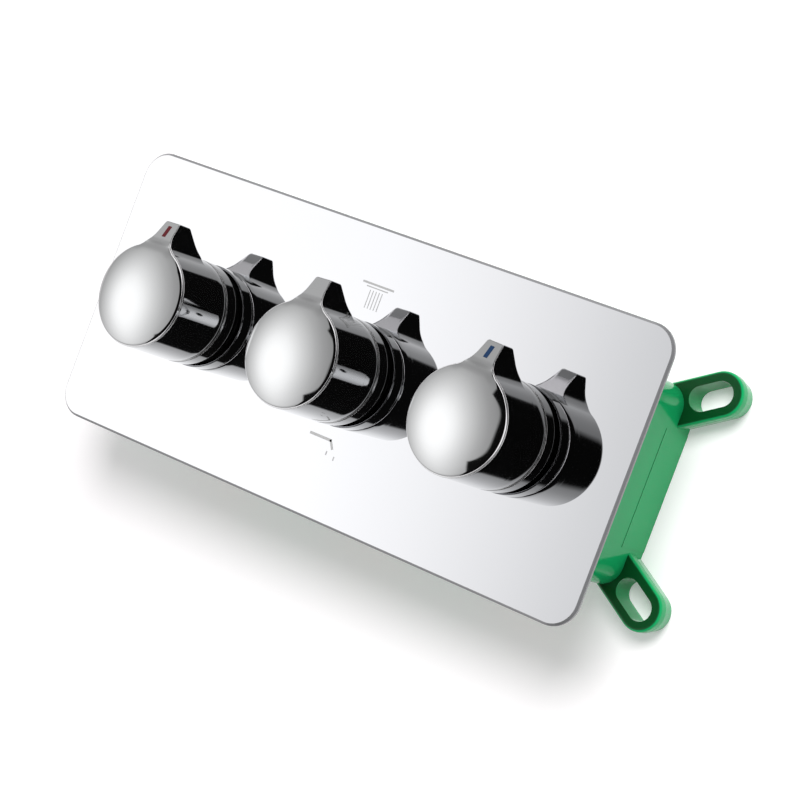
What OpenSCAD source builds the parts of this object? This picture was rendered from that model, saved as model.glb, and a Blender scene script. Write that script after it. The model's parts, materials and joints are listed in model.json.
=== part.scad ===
// Concealed shower valve with three handles: hot supply, outlet selector, cold supply.
// Millimetres, +Z up, front faces -Y. The origin is the middle of the rear mounting plane.

/* [Face plate] */
// Width of the chrome plate
plate_w = 284; // [270:1:320]
// Height of the chrome plate
plate_h = 126; // [110:1:150]
// Thickness of the plate
plate_t = 2; // [2:0.5:5]
// Corner radius of the plate
plate_corner_r = 12; // [6:1:20]
// Size of the bevel along the plate's front edge
plate_bevel = 0.9; // [0.5:0.1:1.6]

/* [Stations] */
// Distance from one handle to the next
pitch = 85; // [76:1:88]
// Clockwise lean of the hot lever as photographed, degrees
hot_lean = -2.5; // [-5:0.5:5]
// Clockwise lean of the selector lever as photographed, degrees
diverter_lean = -3; // [-5:0.5:5]
// Clockwise lean of the cold lever as photographed, degrees
cold_lean = 1.7; // [-5:0.1:5]
// Turn of the hot and cold handles from shut to open, degrees
tap_turn = 90; // [60:5:120]
// Turn of the selector from shower to spout, degrees
diverter_turn = 180; // [120:10:180]

/* [Knobs] */
// Radius of a knob at its rear
knob_rear_r = 23.2; // [22:0.1:25]
// Radius of a knob at its front rim
knob_rim_r = 22.7; // [21:0.1:24]
// Length of a knob from its rear to its rim
knob_len = 30.3; // [26:0.1:38]
// Height of the domed front above the rim
dome_h = 6.8; // [5:0.2:10]
// Radius of the roll-off between the side and the dome
dome_edge_r = 3.2; // [1.5:0.1:4]
// Width of the small step where the dome meets the rim
dome_step = 0.3; // [0.1:0.05:0.6]
// Radius of the rounding at a knob's rear edge
knob_rear_edge_r = 1.8; // [0.5:0.1:2.5]
// Wall of the hollow knob
knob_wall = 2.6; // [2:0.1:4]
// Radius of the hub that takes the spindle
hub_r = 8.5; // [7:0.5:11]
// Reach of the lever tip from the knob's axis
tip_r = 33.8; // [31:0.1:38]
// Width of the lever at its tip
tip_w = 7.8; // [6:0.1:9]
// Width of the lever where its sides start to flare
root_w = 8.8; // [7:0.1:10]
// Radius of the flare between the lever and the round knob
flare_r = 11; // [7:0.5:13]
// How far the flare runs into the round knob
flare_sink = 0.15; // [0.1:0.05:0.4]
// How far outside the rim the lever's front starts to lean back
crease_out = 0.4; // [0.2:0.1:2]
// How far the lever tip's front edge lies behind the rim
tip_front_drop = 5.1; // [3:0.1:8]
// How far the lever tip's back edge lies behind the rim
tip_back_drop = 12.7; // [10:0.1:18]
// How far in front of the knob's rear the lever's back meets the round knob
root_back_lift = 8; // [4:0.5:10]
// Radius of the lever tip's corners
tip_corner_r = 0.8; // [0.5:0.1:2]

/* [Marks] */
// Width of the coloured bar on a lever
mark_w = 1.9; // [1:0.1:2.5]
// Length of the coloured bar
mark_len = 5.7; // [3:0.1:7]
// Distance of the bar's middle from the lever's tip
mark_inset = 4.6; // [3.8:0.1:6]
// Thickness of the bar
mark_t = 0.5; // [0.3:0.1:0.8]
// How far the bar stands out of the lever
mark_proud = 0.05; // [0.02:0.01:0.1]

/* [Collars] */
// Radius of the fixed ring behind a knob
collar_r = 23.2; // [22:0.1:25]
// Length of the ring that shows
collar_len = 6.8; // [5:0.1:9]
// Gap between the plate and the ring, filled by a seal
collar_lift = 2.8; // [2:0.1:4]
// Radius of the ring's neck in the plate
neck_r = 17; // [16:0.5:18.5]
// Wall of the ring around its front recess
collar_wall = 3.2; // [2:0.1:4]
// Radius of the ring's rounded edges
collar_edge_r = 0.6; // [0.2:0.1:1]

/* [Wall box] */
// Height of the green box
box_h = 88; // [84:1:96]
// Radius of the box corners
box_corner_r = 10; // [8:1:16]
// Wall of the box
box_wall = 3; // [2:0.5:4]
// How far inside the box's two sides a lug starts
lug_root = 14; // [12:1:16]
// Distance from a lug's start to the end of its slot
lug_reach = 32; // [30:0.5:36]
// Slope of the lugs, degrees from level
lug_slope = 31; // [20:1:45]
// Width of a lug
lug_w = 19.4; // [17:0.2:24]
// Thickness of a lug
lug_t = 12.5; // [8:0.5:16]
// How much a lug narrows on each side towards its rear
lug_draft = 1.3; // [0.5:0.1:2]
// Radius of a lug's rounded front edge
lug_edge_r = 1.5; // [0.5:0.1:2.5]
// Width of the slot in a lug
slot_w = 10.8; // [7:0.2:12]
// Distance between the centres of a slot's round ends
slot_travel = 9; // [5:0.5:11]
// Height of the raised pad on each end of the box
pad_h = 51.6; // [40:0.1:58]
// Length of the raised pad from the rear
pad_len = 20.5; // [12:0.1:40]
// Thickness of the raised pad
pad_t = 0.15; // [0.1:0.05:1]

/* [Gasket] */
// Thickness of the foam between plate and box
gasket_t = 4; // [2:0.5:5]
// Width of the foam strip
gasket_w = 5; // [4:0.5:8]
// Inset of the foam from the box's outside
gasket_inset = 0.5; // [0:0.1:1]

/* [Brass body] */
// Radius of each valve boss
boss_r = 17.5; // [17:0.5:19]
// Height of the posts that the brass body stands on
post_h = 2; // [1:0.5:3]
// Radius of the bar that joins the bosses
bar_r = 11; // [9:0.5:12]
// Brass in front of the bar, up to the boss faces
bar_cover = 2; // [1.5:0.5:3]
// Radius of the waterway along the bar
bar_bore_r = 5.5; // [4:0.5:6]
// Radius of a port's round stub
port_r = 13; // [12:0.5:13.5]
// Gap between a grommet and a port's hexagon
port_gap = 1.5; // [0.5:0.5:4]
// Radius of a port's threaded bore
port_thread_r = 9.3; // [8:0.1:10]
// Length of a port's threaded bore
port_thread_len = 15; // [10:0.5:18]
// Radius of the waterway behind a port's thread
port_bore_r = 6; // [4.5:0.5:6.5]
// Width across the flats of a port's hexagon
port_hex_w = 27; // [26.5:0.5:30]
// Length of a port's hexagon
port_hex_len = 6; // [4:0.5:7]

/* [Cartridges] */
// Brass between a port's waterway and the seat face
seat_floor = 2; // [1.5:0.5:4]
// Depth of the seat face below the boss face
seat_depth = 22; // [21:0.5:26]
// Thickness of the rubber under the fixed disc
seat_seal_t = 2; // [1.5:0.1:2.5]
// Thickness of each ceramic disc
disc_t = 3.5; // [3:0.1:4]
// Radius of the moving disc
moving_disc_r = 9.5; // [9:0.1:9.6]
// Radius of the cartridge nose
nose_r = 10.8; // [10.6:0.1:11]
// Wall of the cartridge nose
nose_wall = 1; // [0.8:0.1:1.2]
// Radius of the thread that holds the cartridge
cartridge_thread_r = 12; // [11.8:0.1:12.5]
// Length of that thread in the boss
cartridge_thread_len = 6; // [5:0.5:7]
// Width across the flats of the cartridge's hexagon
cartridge_hex_w = 28; // [27:0.5:29]
// Length of the cartridge's hexagon
cartridge_hex_len = 6; // [5:0.5:6]
// Radius of the spindle's shaft
shaft_r = 5; // [4.5:0.1:5.5]
// Radius of the spindle's thrust collar
thrust_r = 8.6; // [8:0.1:9]
// Length of the spindle's thrust collar
thrust_len = 2.7; // [2:0.1:3]
// Radius over the teeth of the spindle's spline
spline_r = 4; // [3.6:0.1:4.3]
// Depth of a spline tooth
tooth_h = 0.45; // [0.3:0.05:0.6]
// Number of spline teeth
teeth = 20; // [16:1:24]
// Length of the spline
spline_len = 18; // [14:0.5:20]

/* [Screws] */
// Radius of a knob's grub screw
grub_r = 2.5; // [2:0.1:3]
// Length of a knob's grub screw
grub_len = 8; // [5:0.5:10]
// Place of the grub screw, in degrees clockwise from straight down
grub_turn = 100; // [60:5:120]
// Radius of the screws that hold the brass body
screw_r = 2; // [1.5:0.1:2.5]
// Length of those screws under the head
screw_len = 8; // [6:0.5:8.5]
// Radius of their heads
screw_head_r = 4; // [3.5:0.1:4.5]
// Height of their heads
screw_head_h = 2.6; // [2:0.1:3]
// Distance of those screws from the valve axis
foot_reach = 26; // [24:0.5:28]
// Room between a foot and the box's end wall
foot_room = 6.3; // [3:0.1:9]

/* [Hidden] */
$fn = 96;

// Clearance of a running fit, on the radius
run_fit = 0.05;
// Clearance of parts that stay put in each other, on the radius
rest_fit = 0.05;
// Gap that keeps moving pieces off their neighbours
free_gap = 0.3;
// Overrun of a cut past the face it opens
over = 1;

// Kinds of station: a tap shuts or opens, the selector picks one of two outlets
TAP = 0;
SELECTOR = 1;

// Grommets round the ports
grommet_wall = 1.6;
grommet_lip = 1.6;
grommet_lip_t = 1.5;
grommet_gap = 0.8;
grommet_hole_r = port_r + rest_fit + grommet_wall;
grommet_lip_r = grommet_hole_r - rest_fit + grommet_lip;
port_reach = box_h / 2 + grommet_lip_t + port_gap + port_hex_len;

// The box ends a little outside the feet
foot_end_r = 9;
box_w = 2 * (pitch + foot_reach + foot_end_r + foot_room + box_wall);

// Heights above the mounting plane, measured outwards
boss_rear_z = box_wall + post_h;
port_z = box_wall + grommet_gap + grommet_lip_r;
seat_z = port_z + port_bore_r + seat_floor;
boss_face_z = seat_z + seat_depth;
bar_z = boss_face_z - bar_cover - bar_r;
hex_front_z = boss_face_z + cartridge_hex_len;
box_depth = hex_front_z;
plate_back_z = box_depth + gasket_t;
plate_front_z = plate_back_z + plate_t;
collar_rear_z = plate_front_z + collar_lift;
collar_front_z = collar_rear_z + collar_len;
knob_rear_z = collar_front_z + free_gap;
rim_z = knob_rear_z + knob_len;
tip_front_z = rim_z - tip_front_drop;
tip_back_z = rim_z - tip_back_drop;
root_back_z = knob_rear_z + root_back_lift;
gland_front_z = collar_rear_z + collar_wall;
gland_len = gland_front_z - hex_front_z;
fixed_disc_z = seat_z + seat_seal_t;
moving_disc_z = fixed_disc_z + disc_t + run_fit;
drive_z = moving_disc_z + disc_t + run_fit;
nose_front_z = boss_face_z - cartridge_thread_len;
foot_t = 5;
foot_z = boss_rear_z + foot_t;

// The dome is a cap of a ball that runs into a round roll-off ring at the rim
dome_ring_r = knob_rim_r - dome_step - dome_edge_r;
dome_ball_r = (dome_ring_r * dome_ring_r + dome_h * dome_h - dome_edge_r * dome_edge_r) / (2 * (dome_h - dome_edge_r));
dome_cap_r = dome_ball_r * dome_ring_r / (dome_ball_r - dome_edge_r);
crease_r = knob_rim_r + crease_out;
mark_at_r = tip_r - mark_inset;
lever_tilt = atan(tip_front_drop / (tip_r - crease_r));
flare_x = root_w / 2 + flare_r;
flare_foot_r = knob_rim_r - flare_sink;
flare_y = sqrt(pow(flare_foot_r + flare_r, 2) - flare_x * flare_x);

// Inside of a knob
cavity_r = knob_rim_r - knob_wall;
cavity_top_z = rim_z - knob_wall;
hub_rear_gap = 1.2;
hub_rear_z = knob_rear_z + hub_rear_gap;
grub_z = knob_rear_z + spline_len / 2;
grub_boss_w = 4 * grub_r;
grub_key_w = grub_r;
grub_key_depth = grub_len / 2;

// Inside of a cartridge
chamber_r = nose_r - nose_wall;
thrust_front_z = nose_front_z + 2 * disc_t / 3;
thrust_rear_z = thrust_front_z - thrust_len;
port_hole_r = 3;
port_hole_at = 5;
seat_hole_r = 8;
seat_port_r = 3.4;
window_w = 6;
window_len = 5;
key_w = 2.4;
key_h = nose_wall;
drive_bar_w = 3.8;
drive_bar_t = 3;
tongue_w = 2.2;
tongue_depth = 1.4;
stop_w = 2;
stop_depth = 2.6;
stop_slack = 2;
seal_groove_r = 3.6;
seal_groove_w = 1.9;
seal_section_r = (shaft_r - seal_groove_r) / 2 - run_fit / 2;
seal_heights = [gland_front_z - gland_len / 3, gland_front_z - 2 * gland_len / 3];
circlip_t = 1;
circlip_r = 7;
circlip_groove_r = 4.2;
circlip_z = gland_front_z + 2 * run_fit;
spline_z = circlip_z + 2 * circlip_t;

// Seals on the outside of a cartridge
body_seal_section_r = 0.9;
recess_r = cartridge_thread_r + 2 * body_seal_section_r + 4 * rest_fit;
recess_depth = 2 * body_seal_section_r + 2 * rest_fit;
collar_seal_section_r = collar_lift / 2 - rest_fit;
collar_seal_at = neck_r + collar_seal_section_r + rest_fit;

// Foot screws
foot_hole_r = screw_r + free_gap;
box_post_r = 6;

// Turns an outward-looking drawing (x right, y up, z outwards) into the part's frame
module outward() {
    rotate([90, 0, 0])
        children();
}

// Places a station's drawing at its axis, leaning clockwise
module at_station(x, lean) {
    outward()
        translate([x, 0, 0])
            rotate([0, 0, -lean])
                children();
}

// A slab with round corners, from z = 0
module slab(w, h, t, r) {
    translate([-w / 2 + r, -h / 2, 0])
        cube([w - 2 * r, h, t]);
    translate([-w / 2, -h / 2 + r, 0])
        cube([w, h - 2 * r, t]);
    for (sx = [-1, 1], sy = [-1, 1])
        translate([sx * (w / 2 - r), sy * (h / 2 - r), 0])
            cylinder(r = r, h = t);
}

// A slab whose front edge is bevelled all round
module bevelled_slab(w, h, t, r, edge) {
    slab(w, h, t - edge, r);
    translate([0, 0, t - edge]) {
        translate([-w / 2 + r, 0, 0])
            rotate([90, 0, 90])
                linear_extrude(height = w - 2 * r)
                    polygon([[-h / 2, 0], [h / 2, 0], [h / 2 - edge, edge], [-h / 2 + edge, edge]]);
        translate([0, h / 2 - r, 0])
            rotate([90, 0, 0])
                linear_extrude(height = h - 2 * r)
                    polygon([[-w / 2, 0], [w / 2, 0], [w / 2 - edge, edge], [-w / 2 + edge, edge]]);
        for (sx = [-1, 1], sy = [-1, 1])
            translate([sx * (w / 2 - r), sy * (h / 2 - r), 0])
                cylinder(r1 = r, r2 = r - edge, h = edge);
    }
}

// A round ring of round section, centred on z = 0
module ring(at, section) {
    rotate_extrude()
        translate([at, 0])
            circle(r = section, $fn = 32);
}

// A washer from z = 0
module washer(outer, inner, t) {
    difference() {
        cylinder(r = outer, h = t);
        translate([0, 0, -over])
            cylinder(r = inner, h = t + 2 * over);
    }
}

// A hexagonal bar from z = 0, measured across its flats
module hex_bar(across, t) {
    rotate([0, 0, 30])
        cylinder(r = across / sqrt(3), h = t, $fn = 6);
}

// Points of an arc, for outlines
function arc(x, y, r, from, to, steps) =
    [for (i = [0:steps]) let (a = from + (to - from) * i / steps) [x + r * cos(a), y + r * sin(a)]];

// Points of a toothed outline
function toothed(r, depth, n) =
    [for (i = [0:2 * n - 1]) let (a = 180 * i / n, q = i % 2 == 0 ? r : r - depth) [q * sin(a), q * cos(a)]];

// Chrome plate with a hole for each neck
module face_plate() {
    color("gainsboro")
        outward()
            difference() {
                translate([0, 0, plate_back_z])
                    bevelled_slab(plate_w, plate_h, plate_t, plate_corner_r, plate_bevel);
                for (i = [-1:1])
                    translate([i * pitch, 0, plate_back_z - over])
                        cylinder(r = neck_r + free_gap, h = plate_t + 2 * over);
            }
}

// Foam frame between the plate and the box
module plate_gasket() {
    outer_w = box_w - 2 * gasket_inset;
    outer_h = box_h - 2 * gasket_inset;
    outer_r = box_corner_r - gasket_inset;
    color("dimgray")
        outward()
            translate([0, 0, box_depth])
                difference() {
                    slab(outer_w, outer_h, gasket_t, outer_r);
                    translate([0, 0, -over])
                        slab(outer_w - 2 * gasket_w, outer_h - 2 * gasket_w, gasket_t + 2 * over,
                             outer_r - gasket_w);
                }
}

// One lug along +x: drafted at the rear, straight at the front, with a rounded front edge
module lug_form() {
    half = lug_w / 2;
    rear = half - lug_draft;
    draft_h = lug_t - 3 * lug_edge_r;
    rotate([90, 0, 90])
        linear_extrude(height = lug_reach)
            polygon([[-rear, 0], [rear, 0], [half, draft_h], [-half, draft_h]]);
    translate([0, -half, draft_h])
        cube([lug_reach, lug_w, 2 * lug_edge_r]);
    translate([0, -half + lug_edge_r, draft_h])
        cube([lug_reach, lug_w - 2 * lug_edge_r, lug_t - draft_h]);
    translate([lug_reach, 0, 0]) {
        cylinder(r1 = rear, r2 = half, h = draft_h);
        translate([0, 0, draft_h])
            cylinder(r = half, h = 2 * lug_edge_r);
        cylinder(r = half - lug_edge_r, h = lug_t);
        translate([0, 0, lug_t - lug_edge_r])
            ring(half - lug_edge_r, lug_edge_r);
    }
    for (sy = [-1, 1])
        translate([0, sy * (half - lug_edge_r), lug_t - lug_edge_r])
            rotate([0, 90, 0])
                cylinder(r = lug_edge_r, h = lug_reach);
}

// The slot of one lug
module lug_slot() {
    half = slot_w / 2;
    translate([lug_reach - slot_travel, 0, -over]) {
        translate([0, -half, 0])
            cube([slot_travel, slot_w, lug_t + 2 * over]);
        for (x = [0, slot_travel])
            translate([x, 0, 0])
                cylinder(r = half, h = lug_t + 2 * over);
    }
}

// Places a lug's drawing at each corner of the box
module at_lugs() {
    for (sx = [0, 1], sy = [0, 1])
        mirror([sx, 0, 0])
            mirror([0, sy, 0])
                translate([box_w / 2 - lug_root, box_h / 2 - lug_root, 0])
                    rotate([0, 0, lug_slope])
                        children();
}

// Places a drawing at each pipe port: x of the axis, and 1 for up or -1 for down
module at_ports() {
    for (p = [[-pitch, -1], [pitch, -1], [0, 1], [0, -1]])
        translate([p[0], 0, port_z])
            rotate([-p[1] * 90, 0, 0])
                children();
}

// Places a drawing at each foot screw
module at_foot_screws() {
    for (sx = [-1, 1], side = [-1, 1])
        translate([sx * pitch + side * foot_reach, 0, 0])
            children();
}

// Green box that is built into the wall
module wall_box() {
    inner_w = box_w - 2 * box_wall;
    inner_h = box_h - 2 * box_wall;
    color("mediumseagreen")
        outward()
            difference() {
                union() {
                    slab(box_w, box_h, box_depth, box_corner_r);
                    at_lugs()
                        lug_form();
                    translate([-box_w / 2 - pad_t, -pad_h / 2, 0])
                        cube([box_w + 2 * pad_t, pad_h, pad_len]);
                }
                difference() {
                    translate([0, 0, box_wall])
                        slab(inner_w, inner_h, box_depth, box_corner_r - box_wall);
                    at_foot_screws()
                        cylinder(r = box_post_r, h = boss_rear_z);
                }
                at_foot_screws()
                    translate([0, 0, foot_z - screw_len - rest_fit])
                        cylinder(r = screw_r + rest_fit, h = screw_len);
                at_ports()
                    translate([0, 0, box_h / 2 - box_wall - over])
                        cylinder(r = grommet_hole_r, h = box_wall + 2 * over);
                at_lugs()
                    lug_slot();
            }
}

// Bore for a cartridge, shared by every station
module cartridge_bore() {
    translate([0, 0, seat_z])
        cylinder(r = nose_r + free_gap, h = boss_face_z - seat_z + over);
    translate([0, 0, nose_front_z])
        cylinder(r = cartridge_thread_r, h = cartridge_thread_len + over);
    translate([0, 0, boss_face_z - recess_depth])
        cylinder(r = recess_r, h = recess_depth + over);
}

// Brass body: three valve bosses, the bar that joins them, four ports and two feet
module manifold() {
    color("goldenrod")
        outward()
            difference() {
                union() {
                    for (i = [-1:1])
                        translate([i * pitch, 0, boss_rear_z])
                            cylinder(r = boss_r, h = boss_face_z - boss_rear_z);
                    translate([-pitch, 0, bar_z])
                        rotate([0, 90, 0])
                            cylinder(r = bar_r, h = 2 * pitch);
                    at_ports() {
                        cylinder(r = port_r, h = port_reach);
                        translate([0, 0, port_reach - port_hex_len])
                            hex_bar(port_hex_w, port_hex_len);
                    }
                    for (sx = [-1, 1])
                        translate([sx * pitch - foot_reach, -foot_end_r, boss_rear_z])
                            cube([2 * foot_reach, 2 * foot_end_r, foot_t]);
                    at_foot_screws()
                        translate([0, 0, boss_rear_z])
                            cylinder(r = foot_end_r, h = foot_t);
                }
                for (i = [-1:1])
                    translate([i * pitch, 0, 0])
                        cartridge_bore();
                translate([-pitch, 0, bar_z])
                    rotate([0, 90, 0])
                        cylinder(r = bar_bore_r, h = 2 * pitch);
                at_ports()
                    translate([0, 0, port_reach - port_thread_len])
                        cylinder(r = port_thread_r, h = port_thread_len + over);
                for (sx = [-1, 1])
                    translate([sx * pitch, 0, 0]) {
                        translate([0, 0, port_z])
                            cylinder(r = seat_hole_r, h = seat_z - port_z + over);
                        translate([0, seat_hole_r / 2, port_z])
                            rotate([90, 0, 0])
                                cylinder(r = port_bore_r, h = seat_hole_r / 2 + port_reach);
                    }
                for (sy = [-1, 1]) {
                    translate([0, sy * port_hole_at, port_z])
                        cylinder(r = seat_port_r, h = seat_z - port_z + over);
                    translate([0, sy * port_hole_at / 2, port_z])
                        rotate([-sy * 90, 0, 0])
                            cylinder(r = port_bore_r, h = port_reach - port_hole_at);
                }
                at_foot_screws()
                    cylinder(r = foot_hole_r, h = foot_z + over);
            }
}

// Screws through the feet into the box
module manifold_screws() {
    recess_w = screw_r * 1.2;
    color("silver")
        outward()
            at_foot_screws()
                difference() {
                    union() {
                        translate([0, 0, foot_z - screw_len])
                            cylinder(r = screw_r, h = screw_len);
                        translate([0, 0, foot_z])
                            cylinder(r1 = screw_head_r, r2 = screw_head_r - screw_head_h / 3,
                                     h = screw_head_h);
                    }
                    for (a = [0, 90])
                        rotate([0, 0, a])
                            translate([-screw_head_h, -recess_w / 4, foot_z + screw_head_h / 2])
                                cube([2 * screw_head_h, recess_w / 2, screw_head_h]);
                }
}

// Rubber grommets where the ports leave the box
module pipe_grommets() {
    inner = port_r + rest_fit;
    body_r = grommet_hole_r - rest_fit;
    lip_r = grommet_lip_r;
    wall_inside = box_h / 2 - box_wall;
    color("dimgray")
        outward()
            at_ports()
                difference() {
                    union() {
                        translate([0, 0, wall_inside - grommet_lip_t])
                            cylinder(r = body_r, h = box_wall + 2 * grommet_lip_t);
                        translate([0, 0, wall_inside - grommet_lip_t])
                            cylinder(r = lip_r, h = grommet_lip_t);
                        translate([0, 0, box_h / 2])
                            cylinder(r = lip_r, h = grommet_lip_t);
                    }
                    translate([0, 0, wall_inside - grommet_lip_t - over])
                        cylinder(r = inner, h = box_wall + 2 * grommet_lip_t + 2 * over);
                }
}

// Right side of the lever's outline: the flare, then the rounded tip corner
function lever_side() =
    concat(arc(flare_x, flare_y, flare_r, 180 + atan2(flare_y, flare_x), 180, 12),
           arc(tip_w / 2 - tip_corner_r, tip_r - tip_corner_r, tip_corner_r, 0, 90, 4));

// Outline of the lever seen from the front, without the round knob
module lever_outline() {
    side = lever_side();
    last = len(side) - 1;
    polygon(concat([[0, 0]], side, [for (i = [0:last]) [-side[last - i][0], side[last - i][1]]]));
}

// Lever: its front outline cut to its side profile
module lever() {
    inside = cavity_r - knob_wall;
    intersection() {
        translate([0, 0, knob_rear_z])
            linear_extrude(height = knob_len)
                lever_outline();
        translate([-2 * flare_r, 0, 0])
            rotate([90, 0, 90])
                linear_extrude(height = 4 * flare_r)
                    polygon([[inside, rim_z], [crease_r, rim_z], [tip_r, tip_front_z],
                             [tip_r, tip_back_z], [knob_rear_r, root_back_z],
                             [inside, root_back_z]]);
    }
}

// Hollow knob with a domed front, a lever, a splined hub and a hole for the grub screw
module knob() {
    difference() {
        union() {
            translate([0, 0, knob_rear_z + knob_rear_edge_r])
                cylinder(r1 = knob_rear_r, r2 = knob_rim_r, h = knob_len - knob_rear_edge_r);
            translate([0, 0, knob_rear_z + knob_rear_edge_r])
                ring(knob_rear_r - knob_rear_edge_r, knob_rear_edge_r);
            translate([0, 0, knob_rear_z])
                cylinder(r = knob_rear_r - knob_rear_edge_r, h = 2 * knob_rear_edge_r);
            translate([0, 0, rim_z])
                ring(dome_ring_r, dome_edge_r);
            intersection() {
                translate([0, 0, rim_z + dome_h - dome_ball_r])
                    sphere(r = dome_ball_r, $fn = 192);
                translate([0, 0, rim_z - dome_edge_r])
                    cylinder(r = dome_cap_r, h = dome_h + 2 * dome_edge_r);
            }
            lever();
        }
        difference() {
            translate([0, 0, knob_rear_z - over])
                cylinder(r = cavity_r, h = cavity_top_z - knob_rear_z + over);
            translate([0, 0, hub_rear_z])
                cylinder(r = hub_r, h = knob_len);
            rotate([0, 0, -grub_turn])
                translate([-grub_boss_w / 2, -knob_rear_r, grub_z - grub_boss_w / 2])
                    cube([grub_boss_w, knob_rear_r, grub_boss_w]);
        }
        translate([0, 0, hub_rear_z - over])
            linear_extrude(height = spline_z + spline_len + free_gap - hub_rear_z + over)
                polygon(toothed(spline_r + rest_fit, tooth_h, teeth));
        translate([0, 0, grub_z])
            rotate([90, 0, -grub_turn])
                cylinder(r = grub_r, h = knob_rear_r + over);
    }
}

// Moves a drawing onto the sloping front of the lever
module on_lever_face() {
    translate([0, mark_at_r, tip_front_z + (tip_r - mark_at_r) * tan(lever_tilt)])
        rotate([-lever_tilt, 0, 0])
            children();
}

// Block that cuts the bar's pocket, or is the bar itself
module mark_block(clearance, top) {
    translate([-mark_w / 2 - clearance, -mark_len / 2 - clearance, -mark_t])
        cube([mark_w + 2 * clearance, mark_len + 2 * clearance, mark_t + top]);
}

// A knob with the pocket for its coloured bar
module marked_knob() {
    difference() {
        knob();
        on_lever_face()
            mark_block(rest_fit, over);
    }
}

// Coloured bar in the lever
module mark() {
    on_lever_face()
        mark_block(0, mark_proud);
}

// Grub screw that grips the spindle, with a hexagonal socket
module grub_screw() {
    translate([0, 0, grub_z])
        rotate([90, 0, -grub_turn])
            translate([0, 0, spline_r + 2 * rest_fit])
                difference() {
                    cylinder(r = grub_r - rest_fit, h = grub_len);
                    translate([0, 0, grub_len - grub_key_depth])
                        hex_bar(grub_key_w, grub_key_depth + over);
                }
}

// Fixed ring behind the knob, screwed onto the cartridge through the plate
module collar() {
    web_z = collar_rear_z + collar_wall;
    neck_rear_z = hex_front_z + 2 * rest_fit;
    difference() {
        union() {
            translate([0, 0, neck_rear_z])
                cylinder(r = neck_r, h = collar_front_z - neck_rear_z);
            translate([0, 0, collar_rear_z])
                cylinder(r = collar_r - collar_edge_r, h = collar_len);
            translate([0, 0, collar_rear_z + collar_edge_r])
                cylinder(r = collar_r, h = collar_len - 2 * collar_edge_r);
            for (z = [collar_rear_z + collar_edge_r, collar_front_z - collar_edge_r])
                translate([0, 0, z])
                    ring(collar_r - collar_edge_r, collar_edge_r);
        }
        translate([0, 0, web_z])
            cylinder(r = collar_r - collar_wall, h = collar_len);
        translate([0, 0, neck_rear_z - over])
            cylinder(r = cartridge_thread_r + rest_fit, h = collar_front_z - neck_rear_z + over);
    }
}

// Seal between the plate and the fixed ring
module collar_seal() {
    translate([0, 0, plate_front_z + collar_lift / 2])
        ring(collar_seal_at, collar_seal_section_r);
}

// Angle that half the stop peg covers at its inner end
stop_half = atan(stop_w / 2 / (chamber_r - stop_depth));

// Cartridge shell: nose with windows, thread, hexagon and front thread
module valve_body() {
    difference() {
        union() {
            translate([0, 0, fixed_disc_z])
                cylinder(r = nose_r, h = nose_front_z - fixed_disc_z);
            translate([0, 0, nose_front_z])
                cylinder(r = cartridge_thread_r - rest_fit, h = cartridge_thread_len);
            translate([0, 0, boss_face_z])
                hex_bar(cartridge_hex_w, cartridge_hex_len);
            translate([0, 0, boss_face_z + cartridge_hex_len / 2])
                cylinder(r = cartridge_thread_r, h = gland_front_z - boss_face_z - cartridge_hex_len / 2);
        }
        translate([0, 0, fixed_disc_z - over])
            cylinder(r = chamber_r, h = thrust_front_z + run_fit - fixed_disc_z + over);
        translate([0, 0, fixed_disc_z])
            cylinder(r = shaft_r + run_fit, h = gland_front_z - fixed_disc_z + over);
        for (a = [0, 90])
            rotate([0, 0, a])
                translate([-nose_r - over, -window_w / 2, nose_front_z - window_len - free_gap])
                    cube([2 * nose_r + 2 * over, window_w, window_len]);
        translate([-chamber_r - key_h - over, -key_w / 2 - rest_fit, fixed_disc_z - over])
            cube([2 * (chamber_r + key_h + over), key_w + 2 * rest_fit, disc_t + over]);
    }
    translate([-stop_w / 2, chamber_r - stop_depth, thrust_rear_z])
        cube([stop_w, stop_depth + nose_wall / 2, thrust_len + nose_wall]);
}

// Seal under the cartridge's hexagon
module body_seal() {
    translate([0, 0, boss_face_z - recess_depth / 2])
        ring(cartridge_thread_r + body_seal_section_r + 2 * rest_fit, body_seal_section_r);
}

// Sector of the thrust collar that is open to the stop peg; turn is clockwise when positive
module stop_sector(turn) {
    edge = stop_half + stop_slack;
    low = 90 + (turn > 0 ? -edge : turn - edge);
    high = 90 + (turn > 0 ? turn + edge : edge);
    translate([0, 0, thrust_rear_z - over])
        linear_extrude(height = thrust_len + 2 * over)
            polygon(concat([[0, 0]], arc(0, 0, 2 * thrust_r, low, high, 24)));
}

// Spindle: drive bar, thrust collar with its stop, sealed shaft and spline
module spindle(turn) {
    difference() {
        union() {
            translate([0, 0, drive_z])
                intersection() {
                    cylinder(r = moving_disc_r - free_gap, h = drive_bar_t);
                    translate([-moving_disc_r, -drive_bar_w / 2, 0])
                        cube([2 * moving_disc_r, drive_bar_w, drive_bar_t]);
                }
            translate([-moving_disc_r / 2, -tongue_w / 2, drive_z - tongue_depth])
                cube([moving_disc_r, tongue_w, tongue_depth]);
            translate([0, 0, drive_z])
                cylinder(r = shaft_r, h = spline_z - drive_z);
            translate([0, 0, spline_z])
                linear_extrude(height = spline_len)
                    polygon(toothed(spline_r, tooth_h, teeth));
        }
        for (z = seal_heights)
            translate([0, 0, z - seal_groove_w / 2])
                washer(shaft_r + over, seal_groove_r, seal_groove_w);
        translate([0, 0, circlip_z - rest_fit])
            washer(shaft_r + over, circlip_groove_r, circlip_t + 2 * rest_fit);
    }
    difference() {
        translate([0, 0, thrust_rear_z])
            cylinder(r = thrust_r, h = thrust_len);
        stop_sector(turn);
    }
}

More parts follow.
